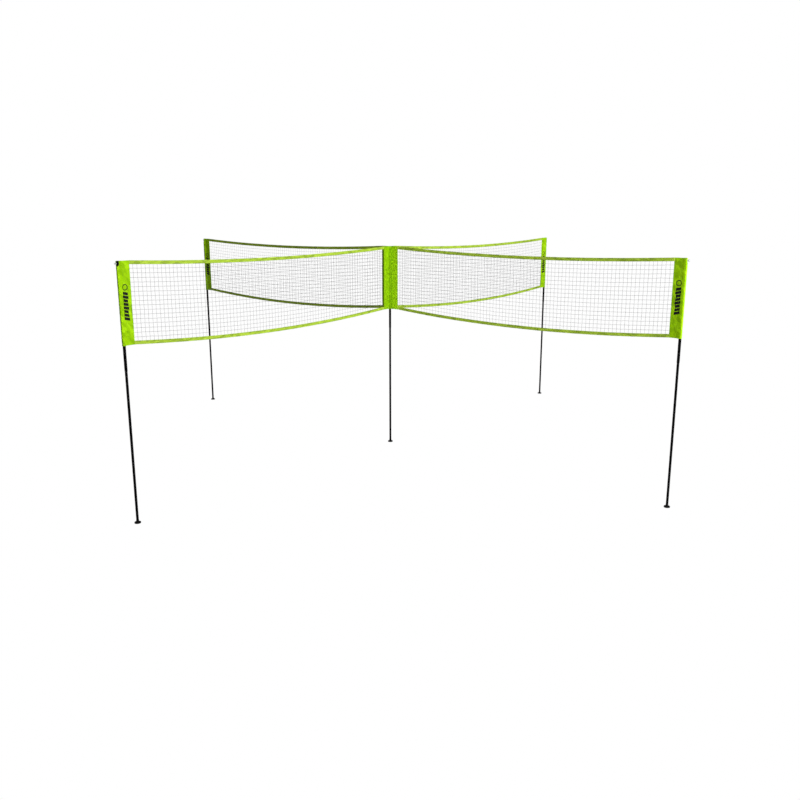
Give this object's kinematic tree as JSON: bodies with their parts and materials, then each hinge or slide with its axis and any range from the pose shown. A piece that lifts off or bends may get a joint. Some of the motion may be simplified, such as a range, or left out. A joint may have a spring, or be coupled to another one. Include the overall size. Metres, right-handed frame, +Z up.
{
  "type": "volleyball net",
  "caption": "Four-way volleyball net: four lime-edged net panels in a cross, held by a centre pole and outer poles that telescope on small feet.",
  "frame": {"origin": "on the ground under the centre pole's axis, the middle of the whole net's base", "axes": "+Z up along the poles; the four net panels run along +X, +Y, -X and -Y"},
  "size_m": [7.302, 7.302, 2.43],
  "materials": {
    "pole_black": "satin black powder coat",
    "foot_rubber": "matte moulded rubber",
    "cap_plastic": "moulded black plastic",
    "plug_nylon": "natural nylon",
    "bright_steel": "zinc plated",
    "netting_twine": "knotted dark twine",
    "tape_lime": "woven lime webbing",
    "band_lime": "lime coated polyester with a tone-on-tone print"
  },
  "bodies": {
    "centre_base": {"centre_foot": "foot_rubber", "centre_lower_tube": "pole_black", "centre_middle_tube": "pole_black", "centre_friction_plug": "plug_nylon"},
    "centre_button": {"centre_snap_button": "bright_steel"},
    "mast": {"centre_upper_tube": "pole_black", "centre_top_cap": "cap_plastic", "centre_sleeve": "band_lime"},
    "east_arm": {"east_netting": "netting_twine", "east_top_tape": "tape_lime", "east_bottom_tape": "tape_lime", "east_inner_band": "band_lime", "east_outer_band": "band_lime", "east_upper_tube": "pole_black", "east_top_cap": "cap_plastic", "east_eye_bolt": "bright_steel"},
    "east_leg": {"east_foot": "foot_rubber", "east_lower_tube": "pole_black", "east_middle_tube": "pole_black", "east_friction_plug": "plug_nylon"},
    "east_button": {"east_snap_button": "bright_steel"},
    "north_arm": {"north_netting": "netting_twine", "north_top_tape": "tape_lime", "north_bottom_tape": "tape_lime", "north_inner_band": "band_lime", "north_outer_band": "band_lime", "north_upper_tube": "pole_black", "north_top_cap": "cap_plastic", "north_eye_bolt": "bright_steel"},
    "north_leg": {"north_foot": "foot_rubber", "north_lower_tube": "pole_black", "north_middle_tube": "pole_black", "north_friction_plug": "plug_nylon"},
    "north_button": {"north_snap_button": "bright_steel"},
    "west_arm": {"west_netting": "netting_twine", "west_top_tape": "tape_lime", "west_bottom_tape": "tape_lime", "west_inner_band": "band_lime", "west_outer_band": "band_lime", "west_upper_tube": "pole_black", "west_top_cap": "cap_plastic", "west_eye_bolt": "bright_steel"},
    "west_leg": {"west_foot": "foot_rubber", "west_lower_tube": "pole_black", "west_middle_tube": "pole_black", "west_friction_plug": "plug_nylon"},
    "west_button": {"west_snap_button": "bright_steel"},
    "south_arm": {"south_netting": "netting_twine", "south_top_tape": "tape_lime", "south_bottom_tape": "tape_lime", "south_inner_band": "band_lime", "south_outer_band": "band_lime", "south_upper_tube": "pole_black", "south_top_cap": "cap_plastic", "south_eye_bolt": "bright_steel"},
    "south_leg": {"south_foot": "foot_rubber", "south_lower_tube": "pole_black", "south_middle_tube": "pole_black", "south_friction_plug": "plug_nylon"},
    "south_button": {"south_snap_button": "bright_steel"}
  },
  "joints": [
    {"name": "height", "type": "slide", "parent": "centre_base", "child": "mast", "axis": [0, 0, 1], "range_m": [-0.45, 0]},
    {"name": "centre_press", "type": "slide", "parent": "centre_base", "child": "centre_button", "axis": [-1, 0, 0], "range_m": [0, 0.0035], "stiffness_N_per_m": 800},
    {"name": "east_swing", "type": "hinge", "parent": "mast", "child": "east_arm", "pos_m": [0, 0, 2.058], "axis": [0, 0, 1], "range_deg": [-35, 35]},
    {"name": "east_leg_slide", "type": "slide", "parent": "east_arm", "child": "east_leg", "axis": [0, 0, 1], "range_m": [0, 0.45]},
    {"name": "east_press", "type": "slide", "parent": "east_leg", "child": "east_button", "axis": [-1, 0, 0], "range_m": [0, 0.0035], "stiffness_N_per_m": 800},
    {"name": "north_swing", "type": "hinge", "parent": "mast", "child": "north_arm", "pos_m": [0, 0, 2.058], "axis": [0, 0, 1], "range_deg": [-35, 35]},
    {"name": "north_leg_slide", "type": "slide", "parent": "north_arm", "child": "north_leg", "axis": [0, 0, 1], "range_m": [0, 0.45]},
    {"name": "north_press", "type": "slide", "parent": "north_leg", "child": "north_button", "axis": [0, -1, 0], "range_m": [0, 0.0035], "stiffness_N_per_m": 800},
    {"name": "west_swing", "type": "hinge", "parent": "mast", "child": "west_arm", "pos_m": [0, 0, 2.058], "axis": [0, 0, 1], "range_deg": [-35, 35]},
    {"name": "west_leg_slide", "type": "slide", "parent": "west_arm", "child": "west_leg", "axis": [0, 0, 1], "range_m": [0, 0.45]},
    {"name": "west_press", "type": "slide", "parent": "west_leg", "child": "west_button", "axis": [1, 0, 0], "range_m": [0, 0.0035], "stiffness_N_per_m": 800},
    {"name": "south_swing", "type": "hinge", "parent": "mast", "child": "south_arm", "pos_m": [0, 0, 2.058], "axis": [0, 0, 1], "range_deg": [-35, 35]},
    {"name": "south_leg_slide", "type": "slide", "parent": "south_arm", "child": "south_leg", "axis": [0, 0, 1], "range_m": [0, 0.45]},
    {"name": "south_press", "type": "slide", "parent": "south_leg", "child": "south_button", "axis": [0, 1, 0], "range_m": [0, 0.0035], "stiffness_N_per_m": 800}
  ],
  "couplings": [
    {"joint": "east_leg_slide", "follows": "height", "ratio": -1},
    {"joint": "north_leg_slide", "follows": "height", "ratio": -1},
    {"joint": "west_leg_slide", "follows": "height", "ratio": -1},
    {"joint": "south_leg_slide", "follows": "height", "ratio": -1}
  ]
}
